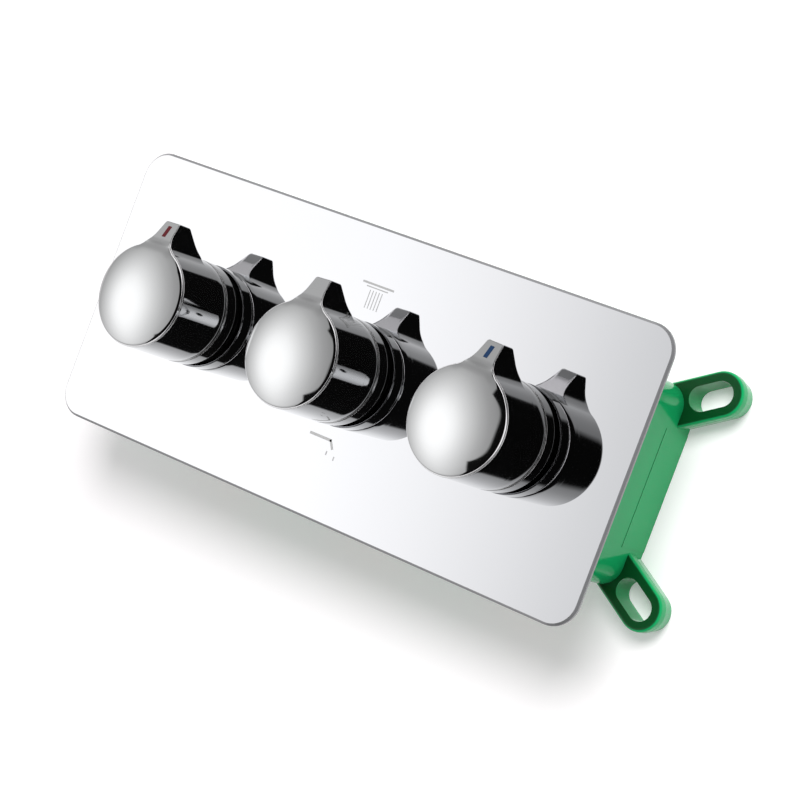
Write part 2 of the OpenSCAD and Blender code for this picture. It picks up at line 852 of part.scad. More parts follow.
// Two seals in the spindle's grooves
module spindle_seals() {
    for (z = seal_heights)
        translate([0, 0, z])
            ring(seal_groove_r + seal_section_r + rest_fit / 4, seal_section_r);
}

// Open clip that keeps the spindle in its cartridge
module circlip() {
    mouth_w = 1.2 * circlip_groove_r;
    translate([0, 0, circlip_z])
        difference() {
            washer(circlip_r, circlip_groove_r + rest_fit, circlip_t);
            translate([-mouth_w / 2, 0, -over])
                cube([mouth_w, circlip_r + over, circlip_t + 2 * over]);
        }
}

// Moving disc: two holes for a tap, one for the selector, and the groove for the tongue
module moving_disc(kind) {
    translate([0, 0, moving_disc_z])
        difference() {
            cylinder(r = moving_disc_r, h = disc_t);
            for (sy = kind == TAP ? [-1, 1] : [1])
                translate([0, sy * port_hole_at, -over])
                    cylinder(r = port_hole_r, h = disc_t + 2 * over);
            translate([-moving_disc_r / 2 - rest_fit, -tongue_w / 2 - rest_fit,
                       disc_t - tongue_depth - rest_fit])
                cube([moving_disc_r + 2 * rest_fit, tongue_w + 2 * rest_fit, tongue_depth + over]);
        }
}

// Fixed disc with two keys: its holes lie across a tap's, or in line with the selector's
module fixed_disc(kind) {
    translate([0, 0, fixed_disc_z])
        difference() {
            union() {
                cylinder(r = chamber_r - rest_fit, h = disc_t);
                translate([-chamber_r - key_h + rest_fit, -key_w / 2, 0])
                    cube([2 * (chamber_r + key_h - rest_fit), key_w, disc_t - rest_fit]);
            }
            rotate([0, 0, kind == TAP ? 90 : 0])
                for (sy = [-1, 1])
                    translate([0, sy * port_hole_at, -over])
                        cylinder(r = port_hole_r, h = disc_t + 2 * over);
        }
}

// Rubber under the fixed disc: open in the middle for a tap, two holes for the selector
module seat_seal(kind) {
    translate([0, 0, seat_z])
        difference() {
            cylinder(r = nose_r - rest_fit, h = seat_seal_t);
            if (kind == TAP)
                translate([0, 0, -over])
                    cylinder(r = seat_hole_r, h = seat_seal_t + 2 * over);
            if (kind == SELECTOR)
                for (sy = [-1, 1])
                    translate([0, sy * port_hole_at, -over])
                        cylinder(r = seat_port_r, h = seat_seal_t + 2 * over);
        }
}

// Hot station, at the left
module hot_station(colour) {
    color(colour)
        at_station(-pitch, hot_lean)
            children();
}

// Selector station, in the middle
module diverter_station(colour) {
    color(colour)
        at_station(0, diverter_lean)
            children();
}

// Cold station, at the right
module cold_station(colour) {
    color(colour)
        at_station(pitch, cold_lean)
            children();
}

face_plate();
plate_gasket();
wall_box();
manifold();
manifold_screws();
pipe_grommets();
hot_station("silver") marked_knob();  // hot_knob
hot_station("darkred") mark();  // hot_mark
hot_station("dimgray") grub_screw();  // hot_grub_screw
hot_station("silver") collar();  // hot_collar
hot_station("black") collar_seal();  // hot_collar_seal
hot_station("gold") valve_body();  // hot_valve_body
hot_station("black") body_seal();  // hot_body_seal
hot_station("khaki") spindle(-tap_turn);  // hot_spindle
hot_station("black") spindle_seals();  // hot_spindle_seals
hot_station("gray") circlip();  // hot_circlip
hot_station("white") moving_disc(TAP);  // hot_moving_disc
hot_station("ivory") fixed_disc(TAP);  // hot_fixed_disc
hot_station("black") seat_seal(TAP);  // hot_seat_seal
diverter_station("silver") knob();  // diverter_knob
diverter_station("dimgray") grub_screw();  // diverter_grub_screw
diverter_station("silver") collar();  // diverter_collar
diverter_station("black") collar_seal();  // diverter_collar_seal
diverter_station("gold") valve_body();  // diverter_valve_body
diverter_station("black") body_seal();  // diverter_body_seal
diverter_station("khaki") spindle(diverter_turn);  // diverter_spindle
diverter_station("black") spindle_seals();  // diverter_spindle_seals
diverter_station("gray") circlip();  // diverter_circlip
diverter_station("white") moving_disc(SELECTOR);  // diverter_moving_disc
diverter_station("ivory") fixed_disc(SELECTOR);  // diverter_fixed_disc
diverter_station("black") seat_seal(SELECTOR);  // diverter_seat_seal
cold_station("silver") marked_knob();  // cold_knob
cold_station("darkblue") mark();  // cold_mark
cold_station("dimgray") grub_screw();  // cold_grub_screw
cold_station("silver") collar();  // cold_collar
cold_station("black") collar_seal();  // cold_collar_seal
cold_station("gold") valve_body();  // cold_valve_body
cold_station("black") body_seal();  // cold_body_seal
cold_station("khaki") spindle(tap_turn);  // cold_spindle
cold_station("black") spindle_seals();  // cold_spindle_seals
cold_station("gray") circlip();  // cold_circlip
cold_station("white") moving_disc(TAP);  // cold_moving_disc
cold_station("ivory") fixed_disc(TAP);  // cold_fixed_disc
cold_station("black") seat_seal(TAP);  // cold_seat_seal
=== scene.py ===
"""Looks for the concealed shower valve with three handles.

The frame is the CAD model's own: X along the plate, +Y into the wall, Z up, and the plate's
front at Y = -62 mm. Sizes of the valve are in mm and become metres with MM. Sizes of the
studio are in metres, and angles are in degrees.
"""
import json
import math

import bmesh
import bpy
import numpy as np
from mathutils import Matrix, Vector


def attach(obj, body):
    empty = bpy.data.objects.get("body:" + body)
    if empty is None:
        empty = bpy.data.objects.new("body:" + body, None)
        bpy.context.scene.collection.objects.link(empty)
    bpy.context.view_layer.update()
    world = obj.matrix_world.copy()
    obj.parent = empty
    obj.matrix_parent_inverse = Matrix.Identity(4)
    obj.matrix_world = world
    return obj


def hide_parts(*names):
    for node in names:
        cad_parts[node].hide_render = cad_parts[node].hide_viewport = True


MM = 0.001

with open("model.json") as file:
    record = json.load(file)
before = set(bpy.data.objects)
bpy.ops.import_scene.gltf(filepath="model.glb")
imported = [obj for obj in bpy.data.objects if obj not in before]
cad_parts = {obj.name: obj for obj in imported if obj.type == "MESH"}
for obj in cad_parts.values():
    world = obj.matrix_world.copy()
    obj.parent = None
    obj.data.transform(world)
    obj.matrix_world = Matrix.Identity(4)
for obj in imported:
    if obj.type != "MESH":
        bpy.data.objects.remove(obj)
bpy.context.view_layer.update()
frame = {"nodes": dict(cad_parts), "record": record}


def grey(level):
    return (level, level, level, 1)


def new_object(name, data):
    """Object that holds the data, in the scene."""
    thing = bpy.data.objects.new(name, data)
    bpy.context.scene.collection.objects.link(thing)
    return thing


# ---------------------------------------------------------------- shader helpers
class Nodes:
    """Builds a node tree. Each input takes a plain value or another node's output."""

    def __init__(self, tree, output_kind):
        self.tree = tree
        self.tree.nodes.clear()
        self.output = self.node(output_kind)

    def node(self, kind, inputs=None, **settings):
        made = self.tree.nodes.new(kind)
        for key, value in settings.items():
            setattr(made, key, value)
        for key, value in (inputs or {}).items():
            self.feed(made.inputs[key], value)
        return made

    def feed(self, socket, value):
        if isinstance(value, bpy.types.NodeSocket):
            self.tree.links.new(value, socket)
        else:
            socket.default_value = value

    def maths(self, operation, *values, clamp=False):
        made = self.node("ShaderNodeMath", operation=operation, use_clamp=clamp)
        for socket, value in zip(made.inputs, values):
            self.feed(socket, value)
        return made.outputs[0]

    def line(self, factor, slope, start, clamp=False):
        """The slope times a factor, plus the start."""
        return self.maths("MULTIPLY_ADD", factor, slope, start, clamp=clamp)

    def distance(self, first, second):
        """Length of the long side over two short sides at a right angle."""
        squares = [self.maths("POWER", side, 2.0) for side in (first, second)]
        return self.maths("SQRT", self.maths("ADD", *squares))

    def split(self, vector):
        """The X, Y and Z outputs of a vector."""
        return self.node("ShaderNodeSeparateXYZ", {0: vector}).outputs

    def mix(self, factor, first, second, blend="MIX"):
        made = self.node("ShaderNodeMix", data_type="RGBA", blend_type=blend)
        self.feed(made.inputs["Factor"], factor)
        self.feed(made.inputs[6], first)
        self.feed(made.inputs[7], second)
        return made.outputs[2]

    def mix_shader(self, factor, first, second):
        return self.node("ShaderNodeMixShader", {0: factor, 1: first, 2: second}).outputs[0]

    def ramp(self, factor, stops, interpolation="LINEAR"):
        """Colour that follows a factor through stops, each a place and a colour."""
        made = self.node("ShaderNodeValToRGB", {"Fac": factor})
        made.color_ramp.interpolation = interpolation
        elements = made.color_ramp.elements
        while len(elements) < len(stops):
            elements.new(0.5)
        for element, (place, colour) in zip(elements, stops):
            element.position = place
            element.color = colour
        return made.outputs["Color"]


class Shader(Nodes):
    """Node tree of a new material."""

    def __init__(self, name):
        self.material = bpy.data.materials.new(name)
        self.material.use_nodes = True
        super().__init__(self.material.node_tree, "ShaderNodeOutputMaterial")
        self.place = self.node("ShaderNodeTexCoord").outputs["Object"]

    def geometry(self, output):
        return self.node("ShaderNodeNewGeometry").outputs[output]

    def noise(self, scale, detail):
        inputs = {"Vector": self.place, "Scale": scale, "Detail": detail}
        return self.node("ShaderNodeTexNoise", inputs).outputs["Fac"]

    def bump(self, height, distance, strength):
        inputs = {"Strength": strength, "Distance": distance, "Height": height}
        return self.node("ShaderNodeBump", inputs).outputs["Normal"]

    def mottled(self, colour, scale, depth, lowest):
        """A colour that a broad noise makes a little darker and lighter."""
        shade = self.line(self.noise(scale, detail=2.0), depth, lowest)
        inputs = {"Red": shade, "Green": shade, "Blue": shade}
        tone = self.node("ShaderNodeCombineColor", inputs).outputs[0]
        return self.mix(1.0, colour, tone, "MULTIPLY")

    def principled(self, **inputs):
        made = self.node("ShaderNodeBsdfPrincipled")
        for key, value in inputs.items():
            self.feed(made.inputs[key.replace("_", " ")], value)
        return self.shown(made.outputs[0])

    def shown(self, surface):
        self.feed(self.output.inputs["Surface"], surface)
        return self.material


# ---------------------------------------------------------------- materials
# The chrome plate, in mm, and the painted edge shade: a grey line over its bevel and just inside
# it, standing in for the dark reflection along the edge
PLATE_FRONT = -62.0
PLATE_HALF_W = 142.0
PLATE_HALF_H = 63.0
PLATE_CORNER_R = 12.0
PLATE_BEVEL = 0.9
# Painted edge shade: width and fade of the grey line inside the bevel, its grey and how metallic it
# is
EDGE_SHADE_W = 0.2
EDGE_SHADE_FADE = 0.15
EDGE_SHADE_GREY = (0.22, 0.222, 0.23, 1)
EDGE_SHADE_METAL = 0.3
# Tint of the plate's chrome from its left end, at 0, to its right, at 1: a painted reflection,
# darker towards the right as the mirrored room grows darker
PLATE_REFLECTION_TINTS = [
    (0.0, (0.70, 0.70, 0.71, 1)),
    (0.5, (0.68, 0.6834, 0.7038, 1)),
    (0.70, (0.61, 0.61305, 0.63135, 1)),
    (0.86, (0.53, 0.53265, 0.54855, 1)),
    (1.0, (0.44, 0.445, 0.46, 1)),
]
REFLECTION_TINTS_PER_METRE = 3.5

# Noises: the scale as waves in a metre, and the detail
WAVES = (35.0, 1.0)
PLATE_WAVES = (30.0, 1.0)
WIPING_MARKS = (900.0, 3.0)
GRAIN = (1500.0, 3.0)
BRASS_GRAIN = (1200.0, 4.0)
MOTTLING = {"scale": 25.0, "depth": 0.10, "lowest": 0.95}
BRASS_MOTTLING = {"scale": 40.0, "depth": 0.25, "lowest": 0.87}
WAVE_STRENGTH = 0.35


def chrome(name, tint, roughness):
    """Polished chrome: faint waviness of the metal below and fine wiping marks."""
    s = Shader(name)
    return s.principled(
        Base_Color=tint,
        Metallic=1.0,
        Roughness=s.line(s.noise(*WIPING_MARKS), roughness, roughness / 2),
        Normal=s.bump(s.noise(*WAVES), 0.02 * MM, WAVE_STRENGTH),
    )


def plate_chrome(name):
    """Chrome of the plate, with a painted reflection that makes it darker towards the right end,
    and painted shade in grey along the edge.
    """
    s = Shader(name)
    place = s.split(s.place)
    # The bevel, where the edge shade is painted: 1 where the surface turns from the front by over
    # 40 degrees, 0 under 21
    shade_facing = s.maths("ABSOLUTE", s.split(s.geometry("Normal"))["Y"])
    bevel = s.line(shade_facing, slope=-6.0, start=5.6, clamp=True)
    # The line inside it: past a corner's middle, the plate's outline is its radius away
    past = []
    for axis, half in (("X", PLATE_HALF_W), ("Z", PLATE_HALF_H)):
        beyond = s.maths("SUBTRACT", s.maths("ABSOLUTE", place[axis]), (half - PLATE_CORNER_R) * MM)
        past.append(s.maths("MAXIMUM", beyond, 0.0))
    inner_r = PLATE_CORNER_R - PLATE_BEVEL - EDGE_SHADE_W
    over = s.maths("SUBTRACT", s.distance(*past), inner_r * MM)
    # Painted edge shade: 1 on the bevel and the thin line inside it, where the chrome turns a
    # duller, less metallic grey
    edge_shade = s.maths("MAXIMUM", bevel, s.maths("DIVIDE", over, EDGE_SHADE_FADE * MM, clamp=True))
    # Painted reflection: the tint darkens along the plate towards its right end
    along = s.line(place["X"], REFLECTION_TINTS_PER_METRE, start=0.5)
    tint = s.ramp(along, PLATE_REFLECTION_TINTS, "B_SPLINE")
    return s.principled(
        Base_Color=s.mix(edge_shade, tint, EDGE_SHADE_GREY),
        Metallic=s.line(edge_shade, slope=EDGE_SHADE_METAL - 1.0, start=1.0),
        Roughness=s.line(s.noise(*WIPING_MARKS), slope=0.02, start=0.01),
        Normal=s.bump(s.noise(*PLATE_WAVES), 0.01 * MM, WAVE_STRENGTH),
    )


def plastic(name, colour, roughness, grain=0.02):
    """Plastic, rubber, foam, paint or ceramic: mottled tone and a fine grain, in mm."""
    s = Shader(name)
    fine = s.noise(*GRAIN)
    return s.principled(
        Base_Color=s.mottled(colour, **MOTTLING),
        Roughness=s.line(fine, slope=0.10, start=roughness),
        Normal=s.bump(fine, grain * MM, strength=0.4),
    )


def green_plastic(name, side, front):
    """Glossy moulded plastic, with painted shade: the faces that look to the front get a deeper
    tone, standing in for the shade they lie in.
    """
    s = Shader(name)
    fine = s.noise(*GRAIN)
    # Mask of the painted shade: 1 where the surface turns from the front by under 15 degrees, 0
    # over 37
    shade_facing = s.line(s.split(s.geometry("Normal"))["Y"], slope=-6.0, start=-4.8, clamp=True)
    return s.principled(
        # The second colour, front, is painted shade on the faces that look to the front
        Base_Color=s.mottled(s.mix(shade_facing, side, front), **MOTTLING),
        Roughness=s.line(fine, slope=0.06, start=0.07),
        Normal=s.bump(fine, 0.01 * MM, strength=0.3),
        Specular_IOR_Level=0.2,
    )


def brass(name, colour, roughness, grain):
    """Brass with uneven tone and a grain, in mm: coarse as cast and fine as machined."""
    s = Shader(name)
    fine = s.noise(*BRASS_GRAIN)
    return s.principled(
        Base_Color=s.mottled(colour, **BRASS_MOTTLING),
        Metallic=1.0,
        Roughness=s.line(fine, slope=0.2, start=roughness),
        Normal=s.bump(fine, grain * MM, strength=0.5),
    )


MATERIALS = {
    "plate_chrome": plate_chrome("plate_chrome"),
    "knob_chrome": chrome("knob_chrome", (0.67, 0.675, 0.68, 1), 0.05),
    "collar_chrome": chrome("collar_chrome", (0.60, 0.605, 0.61, 1), 0.04),
    # The box's green, then a deeper green painted as shade on the faces that look to the front
    "box_green": green_plastic("box_green", (0.008, 0.35, 0.112, 1), (0.0025, 0.052, 0.012, 1)),
    "foam": plastic("foam", grey(0.04), 0.85, 0.2),
    "black_rubber": plastic("black_rubber", grey(0.012), 0.45),
    "brass_body": brass("brass_body", (0.72, 0.50, 0.20, 1), 0.35, 0.1),
    "brass_machined": brass("brass_machined", (0.78, 0.58, 0.28, 1), 0.15, 0.02),
    "steel": chrome("steel", grey(0.6), 0.2),
    "mark_red": plastic("mark_red", (0.075, 0.0005, 0.004, 1), 0.5),
    "mark_blue": plastic("mark_blue", (0.002, 0.022, 0.07, 1), 0.5),
    "ceramic": plastic("ceramic", (0.85, 0.84, 0.80, 1), 0.25),
}

SLOT = {part["node"]: part["material_slot"] for part in frame["record"]["subparts"]}
for name, thing in frame["nodes"].items():
    thing.data.materials.clear()
    thing.data.materials.append(MATERIALS[SLOT[name]])


# ---------------------------------------------------------------- knobs
# The CAD sizes of a knob, in mm. In its own frame X is right, Y is up along the lever and Z
# is outwards, above the mounting plane.
PITCH = 85.0
KNOB_REAR = 71.9
RIM = 102.2
REAR_R = 23.2
RIM_R = 22.7
REAR_EDGE_R = 1.8
EDGE_R = 0.3
TIP_R = 33.8
TIP_W = 7.8
TIP_CORNER_R = 0.8
TIP_FRONT = RIM - 5.1
TIP_BACK = RIM - 12.7
ROOT_W = 8.8
ROOT_BACK = KNOB_REAR + 8.0
FLARE_R = 11.0
CREASE_R = 23.1
CAVITY_R = 20.1
CAVITY_TOP = RIM - 2.6
HUB_R = 8.5
HUB_REAR = KNOB_REAR + 1.2
BORE_R = 4.05
BORE_TOP = 88.4
GRUB_Z = KNOB_REAR + 9.0
GRUB_R = 2.5
GRUB_BOSS = 10.0
GRUB_TURN = 100.0
MARK_W = 1.9
MARK_LEN = 5.7
MARK_AT = 29.2
MARK_T = 0.5
FACE_SLOPE = (RIM - TIP_FRONT) / (TIP_R - CREASE_R)
# Each knob: its handle, its place along X and its lean to the right
STATIONS = (("hot", -PITCH, -2.5), ("diverter", 0.0, -3.0), ("cold", PITCH, 1.7))

# The dome as photographed: a step and a short wall at the rim, a roll-off and a shallow ball
DOME_H = 6.8
DOME_EDGE_R = 1.2
DOME_STEP = 0.3
DOME_WALL = 0.4
WALL_IN = 0.03
RING_R = RIM_R - DOME_STEP - DOME_EDGE_R
CAP_H = DOME_H - DOME_WALL
BALL_R = (RING_R**2 + CAP_H**2 - DOME_EDGE_R**2) / (2 * (CAP_H - DOME_EDGE_R))
# Where the roll-off meets the ball, in from the dome's edge
MEET_SIN = RING_R / (BALL_R - DOME_EDGE_R)
MEET_IN = DOME_EDGE_R * (1 - MEET_SIN)
MEET_SLOPE = math.tan(math.asin(MEET_SIN))
# The neck: there the ball meets the roll-off in a soft line, and the dome ends on the lever
NECK_FROM = 18.0
NECK_RISE = 3.0
NECK_HALF_W = 13.0
NECK_SIDE = 4.0
NECK_SOFT = 1.0
NECK_END = 25.3
NECK_FADE = 6.0

# Steps of the mesh along half the outline, from the lowest point to the tip
ROUND_STEPS = 66
FLARE_STEPS = 24
SIDE_STEPS = 6
CORNER_STEPS = 6
TIP_STEPS = 3
# Rings of the mesh: even steps of the front, then distances from its edge, in mm, the first of
# them not over a share of the way
FRONT_STEPS = 12
FRONT_DEPTHS = (3.6, 2.8, 2.1, 1.5, 1.0, 0.6, 0.3, 0.12, 0.04, 0.0)
DEEPEST_SHARE = 0.8
# Steps of the rounded edges, shares of the way across the side and the lever's back, and the
# heights of the rings on the round wall and the radii of those on the rear, in mm
EDGE_STEPS = 4
REAR_STEPS = 6
SIDE_SHARES = (0.02, 0.15, 0.4, 0.7, 0.98, 1.0)
SLOPE_SHARES = (0.05, 0.5, 1.0)
LEDGE_SHARES = (0.1, 0.9, 1.0)
WALL_HEIGHTS = (ROOT_BACK - 0.2, ROOT_BACK - 3.0, KNOB_REAR + REAR_EDGE_R)
TINY = 1e-9
REAR_RADII = (REAR_R - REAR_EDGE_R - 0.05, 10.0, TINY)
# The front's rows run to the axis up to this height, then to points up the lever's middle
ROUND_TOP = 15
LEVER_MIDDLE_END = TIP_R - TIP_W / 2
# The rounded back edge of the lever reaches its radius this far out of the round wall
BACK_FADE = 0.8


def arc(middle, radius, start, end, steps, last):
    """Points on an arc, up to step number last, and the directions of their radii."""
    angles = start + (end - start) * np.arange(last + 1) / steps
    ways = np.column_stack([np.cos(angles), np.sin(angles)])
    return middle + radius * ways, ways


def knob_outline(round_r):
    """Outline of a knob from its lowest point, up its right side to the tip and down the left:
    points and outward normals. The flare is tangent to the circle of radius round_r."""
    flare_x = ROOT_W / 2 + FLARE_R
    flare_y = math.sqrt((round_r + FLARE_R) ** 2 - flare_x**2)
    flare = np.array([flare_x, flare_y])
    corner = np.array([TIP_W / 2 - TIP_CORNER_R, TIP_R - TIP_CORNER_R])
    # The side line touches the flare on one side and the tip's corner on the other
    apart = flare - corner
    end = math.atan2(apart[1], apart[0])
    end += math.acos((FLARE_R + TIP_CORNER_R) / np.hypot(*apart))
    side_n = np.array([math.cos(end), math.sin(end)])
    foot = math.atan2(flare_y, flare_x)
    quarter_turn = math.pi / 2
    axis = np.zeros(2)
    round_p, round_n = arc(axis, round_r, -quarter_turn, foot, ROUND_STEPS, ROUND_STEPS - 1)
    flare_p, flare_n = arc(flare, -FLARE_R, foot, end, FLARE_STEPS, FLARE_STEPS)
    low, high = flare_p[-1], corner + TIP_CORNER_R * side_n
    side_p = [low + (high - low) * k / SIDE_STEPS for k in range(1, SIDE_STEPS)]
    corner_p, corner_n = arc(corner, TIP_CORNER_R, end, quarter_turn, CORNER_STEPS, CORNER_STEPS)
    tip_p = [[corner[0] * (1 - k / TIP_STEPS), TIP_R] for k in range(1, TIP_STEPS)]
    up = [0.0, 1.0]
    right = np.vstack([round_p, flare_p, side_p, corner_p, tip_p])
    right_n = np.vstack([round_n, flare_n, [side_n] * len(side_p), corner_n, [up] * len(tip_p)])
    flip = np.array([-1.0, 1.0])
    points = np.vstack([right, [[0.0, TIP_R]], right[:0:-1] * flip])
    normals = np.vstack([right_n, [up], right_n[:0:-1] * flip])
    return points, normals


OUTLINE, OUTLINE_N = knob_outline(RIM_R)


def edge_distance(points):
    """Distance of each point from the outline at the rim."""
    start = OUTLINE
    run = np.roll(OUTLINE, -1, axis=0) - start
    apart = points[:, None, :] - start[None, :, :]
    share = np.clip((apart * run).sum(2) / (run * run).sum(1), 0, 1)
    return np.sqrt(((apart - share[..., None] * run) ** 2).sum(2)).min(1)


def face_height(points):
    """Height of the front's base: level on the round knob, sloping down along the lever."""
    return RIM - np.maximum(points[:, 1] - CREASE_R, 0) * FACE_SLOPE


def front_height(points):
    """Height of the front: a shallow ball that rolls off to the keyhole outline and ends on
    the lever's flat face."""
    x, y = points[:, 0], points[:, 1]
    ball = CAP_H - BALL_R + np.sqrt(np.maximum(BALL_R**2 - np.hypot(x, y) ** 2, 0))
    inset = np.maximum(edge_distance(points) - DOME_STEP, 0)
    rolled = DOME_EDGE_R - np.minimum(inset, MEET_IN)
    roll = np.sqrt(np.maximum(DOME_EDGE_R**2 - rolled**2, 0))
    roll = roll + np.maximum(inset - MEET_IN, 0) * MEET_SLOPE
    neck = np.clip((y - NECK_FROM) / NECK_RISE, 0, 1)
    neck = neck * np.clip((NECK_HALF_W - np.abs(x)) / NECK_SIDE, 0, 1)
    soft = NECK_SOFT * neck + TINY
    near = np.maximum(soft - np.abs(ball - roll), 0) / soft
    bulge = np.maximum(np.minimum(ball, roll) - near**2 * soft / 4, 0)
    bulge = bulge + DOME_WALL * np.clip(inset / WALL_IN, 0, 1)
    left = np.clip((NECK_END - y) / NECK_FADE, 0, 1)
    return face_height(points) + bulge * (1 - (1 - left) ** 2)


def back_height(y):
    """Height of the lever's back: a ledge at the knob, then the slope to the tip."""
    return ROOT_BACK + np.maximum(y - REAR_R, 0) * (TIP_BACK - ROOT_BACK) / (TIP_R - REAR_R)


def cone_r(z):
    """Radius of the round side at a height."""
    base = KNOB_REAR + REAR_EDGE_R
    return REAR_R + (RIM_R - REAR_R) * (z - base) / (RIM - base)


def side_points(heights):
    """Point of the side for each point of the outline, at its own height."""
    return np.array([knob_outline(cone_r(z))[0][i] for i, z in enumerate(heights)])


def middle_line():
    """Point that each row of the front runs to: the axis for the round knob, and up the
    lever's middle for the lever."""
    # The line of each normal crosses the middle at a height, unless it runs along it
    sideways = np.abs(OUTLINE_N[:, 0]) > TINY
    fall = OUTLINE[:, 0] * OUTLINE_N[:, 1] / np.where(sideways, OUTLINE_N[:, 0], 1)
    y = np.clip(np.where(sideways, OUTLINE[:, 1] - fall, 0), 0, LEVER_MIDDLE_END)
    y[OUTLINE[:, 1] < ROUND_TOP] = 0
    y[OUTLINE[:, 1] > LEVER_MIDDLE_END] = LEVER_MIDDLE_END
    half = np.maximum.accumulate(y[: len(y) // 2 + 1])
    return np.column_stack([np.zeros(len(y)), np.concatenate([half, half[1:-1][::-1]])])


def quarter(steps):
    """Sine and cosine at equal steps of a quarter turn, from the first step to its end."""
    for k in range(1, steps + 1):
        angle = math.radians(90 * k / steps)
        yield math.sin(angle), math.cos(angle)


def knob_rings():
    """Rings of points from the middle of the front, over the rim and down the side, to the
    middle of the rear. Every ring has a point for each point of the outline."""
    rings = []
    count = len(OUTLINE)
    turn = np.arctan2(OUTLINE[:, 1], OUTLINE[:, 0])
    ray = np.stack([np.cos(turn), np.sin(turn)], 1)

    def add(xy, z):
        rings.append(np.column_stack([xy, z]))

    def add_level(radius, z):
        add(ray * radius, np.full(count, z))

    # Front: even steps from the middle line, then ever closer ones to the edge
    start = OUTLINE - OUTLINE_N * EDGE_R
    inwards = middle_line() - start
    span = np.linalg.norm(inwards, axis=1)
    widest = FRONT_DEPTHS[0]
    depths = []
    for k in range(FRONT_STEPS + 1):
        share = k / FRONT_STEPS
        near_edge = np.minimum(widest, span * DEEPEST_SHARE)
        depths.append(span * (1 - share) + near_edge * share)
    for depth in FRONT_DEPTHS[1:]:
        depths.append(np.minimum(depth, span * DEEPEST_SHARE * depth / widest))
    for depth in depths:
        xy = start + inwards * (depth / span)[:, None]
        add(xy, front_height(xy))
    # Rounded rim
    top = face_height(OUTLINE)
    for s, c in quarter(EDGE_STEPS):
        add(OUTLINE - OUTLINE_N * EDGE_R * (1 - s), top - EDGE_R * (1 - c))
    # Side down to the lever's back, and on the round knob to the same height
    bottom = back_height(OUTLINE[:, 1])
    high, low = top - EDGE_R, bottom + EDGE_R
    for share in SIDE_SHARES:
        z = high + (low - high) * share
        add(side_points(z), z)
    # Rounded back edge of the lever, which fades out where it meets the round knob
    side = side_points(bottom)
    wall = ray * cone_r(ROOT_BACK)
    reach = np.linalg.norm(side, axis=1) - cone_r(ROOT_BACK)
    round_r = EDGE_R * np.clip(reach / BACK_FADE, 0, 1)
    for s, c in quarter(EDGE_STEPS):
        add(side - OUTLINE_N * (round_r * (1 - c))[:, None], bottom + EDGE_R * (1 - s))
    edge = side - OUTLINE_N * round_r[:, None]
    # Flat back of the lever: the slope down to the line where it turns level, then the ledge
    drop = np.maximum(edge[:, 1] - wall[:, 1], TINY)
    fold = edge + (wall - edge) * np.clip((edge[:, 1] - REAR_R) / drop, 0, 1)[:, None]
    for begin, finish, shares in ((edge, fold, SLOPE_SHARES), (fold, wall, LEDGE_SHARES)):
        for share in shares:
            xy = begin + (finish - begin) * share
            add(xy, back_height(xy[:, 1]))
    # Round wall behind the lever, the rounded rear edge and the flat rear
    for z in WALL_HEIGHTS:
        add_level(cone_r(z), z)
    for s, c in quarter(REAR_STEPS):
        add_level(REAR_R - REAR_EDGE_R * (1 - c), KNOB_REAR + REAR_EDGE_R * (1 - s))
    for radius in REAR_RADII:
        add_level(radius, KNOB_REAR)
    return rings


def to_mesh(name, bm):
    mesh = bpy.data.meshes.new(name)
    bm.to_mesh(mesh)
    bm.free()
    return mesh


# Points of a ring mesh that are nearer than this fall together, in mm; bars' sides; the angle
# from which an edge stays sharp
JOIN = 0.002
DEGENERATE = 0.001
BAR_SIDES = 96
SHARP = 32.0


def ring_mesh(name, rings):
    """Closed mesh from rings of points; points that fall together are joined."""
    bm = bmesh.new()
    rows = [[bm.verts.new(Vector(point) * MM) for point in ring] for ring in rings]
    count = len(rings[0])
    for a, b in zip(rows, rows[1:]):
        for i in range(count):
            j = (i + 1) % count
            bm.faces.new((a[i], a[j], b[j], b[i]))
    bmesh.ops.remove_doubles(bm, verts=bm.verts, dist=JOIN * MM)
    bmesh.ops.dissolve_degenerate(bm, edges=bm.edges, dist=DEGENERATE * MM)
    bmesh.ops.holes_fill(bm, edges=[e for e in bm.edges if e.is_boundary], sides=0)
    bmesh.ops.recalc_face_normals(bm, faces=bm.faces)
    return to_mesh(name, bm)


def bar_mesh(name, radius, low, high, sides=BAR_SIDES):
    """Closed round bar along Z, in mm."""
    bm = bmesh.new()
    bmesh.ops.create_cone(
        bm,
        cap_ends=True,
        segments=sides,
        radius1=radius * MM,
        radius2=radius * MM,
        depth=(high - low) * MM,
        matrix=Matrix.Translation((0, 0, (low + high) / 2 * MM)),
    )
    return to_mesh(name, bm)


def block_mesh(name, low, high, turn):
    """Closed block between two corners in mm, then turned by a matrix."""
    bm = bmesh.new()
    bmesh.ops.create_cube(bm, size=1.0)
    size = [(h - l) * MM for l, h in zip(low, high)]
    centre = [(h + l) / 2 * MM for l, h in zip(low, high)]
    bm.transform(Matrix.Translation(centre) @ Matrix.Diagonal((*size, 1)))
    bm.transform(turn)
    return to_mesh(name, bm)


def cut(mesh, cutters):
    """What is left of a mesh when each cutter mesh is taken from it."""
    for cutter in cutters:
        base = new_object("base", mesh)
        tool = new_object("tool", cutter)
        modifier = base.modifiers.new("cut", "BOOLEAN")
        modifier.operation = "DIFFERENCE"
        modifier.solver = "MANIFOLD"
        modifier.object = tool
        shape = base.evaluated_get(bpy.context.evaluated_depsgraph_get())
        mesh = bpy.data.meshes.new_from_object(shape)
        for thing in (base, tool):
            bpy.data.objects.remove(thing)
    return mesh


